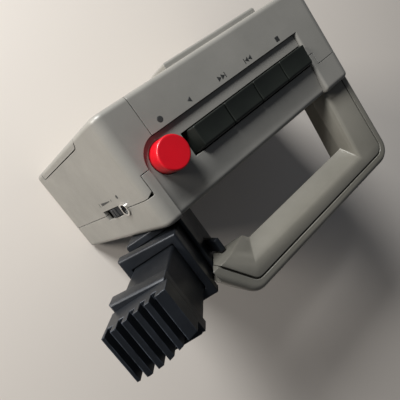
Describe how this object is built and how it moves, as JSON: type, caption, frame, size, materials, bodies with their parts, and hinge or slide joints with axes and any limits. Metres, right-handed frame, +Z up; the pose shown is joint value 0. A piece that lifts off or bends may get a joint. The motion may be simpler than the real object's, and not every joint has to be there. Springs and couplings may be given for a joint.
{
  "type": "cassette recorder",
  "caption": "Hand-held cassette recorder with piano keys, a round record button, a loop handle and a telescoping microphone.",
  "frame": {"origin": "middle of the bounding box at the resting face", "axes": "+X towards the record button and microphone end, +Y towards the loop handle, +Z up out of the key deck"},
  "size_m": [0.2223, 0.1328, 0.1683],
  "materials": {
    "grey_plastic": "satin",
    "grey_deck": "satin",
    "black_plastic": "semi-gloss",
    "key_plastic": "satin",
    "red_plastic": "gloss",
    "chrome": "polished",
    "steel": "brushed",
    "rubber": "matt",
    "window": "clear",
    "board": "matt",
    "cell_skin": "gloss"
  },
  "bodies": {
    "case": {"front_shell": "grey_plastic", "end_cap": "grey_plastic", "rear_shell": "grey_plastic", "front_bar": "grey_plastic", "handle_core": "grey_plastic", "handle_rim": "grey_plastic", "key_deck": "grey_deck", "key_shaft": "steel", "mic_socket": "black_plastic", "wheel_pin": "steel", "volume_control": "black_plastic", "jack_ring": "chrome", "jack_body": "black_plastic", "chassis_plate": "steel", "motor": "steel", "circuit_board": "board", "speaker": "steel", "cells": "cell_skin", "battery_tray": "black_plastic", "case_screws": "steel", "door_pin": "steel", "drive_belt": "rubber"},
    "cassette_door": {"cassette_door": "grey_plastic", "door_window": "window"},
    "battery_door": {"battery_door": "grey_plastic"},
    "record_button": {"record_button": "red_plastic"},
    "volume_wheel": {"volume_wheel": "black_plastic"},
    "mic_outer": {"mic_outer_tube": "black_plastic"},
    "mic_inner": {"mic_inner_tube": "black_plastic", "mic_head": "black_plastic"},
    "supply_reel": {"supply_spindle": "black_plastic"},
    "takeup_reel": {"takeup_spindle": "black_plastic"},
    "capstan": {"capstan_shaft": "steel", "flywheel": "steel"},
    "motor_pulley": {"motor_pulley": "black_plastic"},
    "head_carriage": {"head_plate": "steel", "tape_head": "steel", "roller_pin": "steel"},
    "pinch_roller": {"pinch_roller": "rubber"},
    "play_key": {"play_key": "key_plastic"},
    "rewind_key": {"rewind_key": "key_plastic"},
    "forward_key": {"forward_key": "key_plastic"},
    "stop_key": {"stop_key": "key_plastic"}
  },
  "joints": [
    {"name": "cassette_door_hinge", "type": "hinge", "parent": "case", "child": "cassette_door", "pos_m": [0.0039, -0.06075, 0.0172], "axis": [1, 0, 0], "range_deg": [0, 55]},
    {"name": "battery_door_slide", "type": "slide", "parent": "case", "child": "battery_door", "axis": [-1, 0, 0], "range_m": [0, 0.03]},
    {"name": "record_press", "type": "slide", "parent": "case", "child": "record_button", "axis": [0, 0, 1], "range_m": [-0.004, 0], "stiffness_N_per_m": 400, "springref_m": 0.003},
    {"name": "volume_turn", "type": "hinge", "parent": "case", "child": "volume_wheel", "pos_m": [0.0491, -0.01585, 0.0798], "axis": [0, 1, 0], "range_deg": [0, 280]},
    {"name": "mic_outer_slide", "type": "slide", "parent": "case", "child": "mic_outer", "axis": [0.5446, 0, 0.8387], "range_m": [-0.015, 0]},
    {"name": "mic_inner_slide", "type": "slide", "parent": "mic_outer", "child": "mic_inner", "axis": [0.5446, 0, 0.8387], "range_m": [-0.03, 0]},
    {"name": "supply_turn", "type": "hinge", "parent": "case", "child": "supply_reel", "pos_m": [-0.01735, -0.03035, 0.0491], "axis": [0, 1, 0], "continuous": true},
    {"name": "takeup_turn", "type": "hinge", "parent": "case", "child": "takeup_reel", "pos_m": [0.02515, -0.03035, 0.0491], "axis": [0, 1, 0], "continuous": true},
    {"name": "motor_turn", "type": "hinge", "parent": "case", "child": "motor_pulley", "pos_m": [-0.0291, -0.03035, 0.084], "axis": [0, 1, 0], "continuous": true},
    {"name": "capstan_turn", "type": "hinge", "parent": "case", "child": "capstan", "pos_m": [0.0339, -0.03035, 0.08], "axis": [0, 1, 0], "continuous": true},
    {"name": "head_slide", "type": "slide", "parent": "case", "child": "head_carriage", "axis": [0, 0, 1], "range_m": [-0.0025, 0], "stiffness_N_per_m": 80, "springref_m": 0.003},
    {"name": "pinch_turn", "type": "hinge", "parent": "head_carriage", "child": "pinch_roller", "pos_m": [0.0369, -0.03035, 0.09], "axis": [0, 1, 0], "continuous": true},
    {"name": "play_press", "type": "hinge", "parent": "case", "child": "play_key", "pos_m": [0.0005, -0.04835, 0.1213], "axis": [1, 0, 0], "range_deg": [-6, 0], "stiffness_Nm_per_rad": 0.5, "springref_deg": 4.58},
    {"name": "rewind_press", "type": "hinge", "parent": "case", "child": "rewind_key", "pos_m": [-0.0231, -0.04835, 0.1213], "axis": [1, 0, 0], "range_deg": [-6, 0], "stiffness_Nm_per_rad": 0.5, "springref_deg": 4.58},
    {"name": "forward_press", "type": "hinge", "parent": "case", "child": "forward_key", "pos_m": [-0.0467, -0.04835, 0.1213], "axis": [1, 0, 0], "range_deg": [-6, 0], "stiffness_Nm_per_rad": 0.5, "springref_deg": 4.58},
    {"name": "stop_press", "type": "hinge", "parent": "case", "child": "stop_key", "pos_m": [-0.0703, -0.04835, 0.1213], "axis": [1, 0, 0], "range_deg": [-6, 0], "stiffness_Nm_per_rad": 0.5, "springref_deg": 4.58}
  ],
  "couplings": [
    {"joint": "motor_turn", "follows": "capstan_turn", "ratio": 4.6667},
    {"joint": "play_press", "follows": "head_slide", "rad_per_m": 41.888}
  ]
}
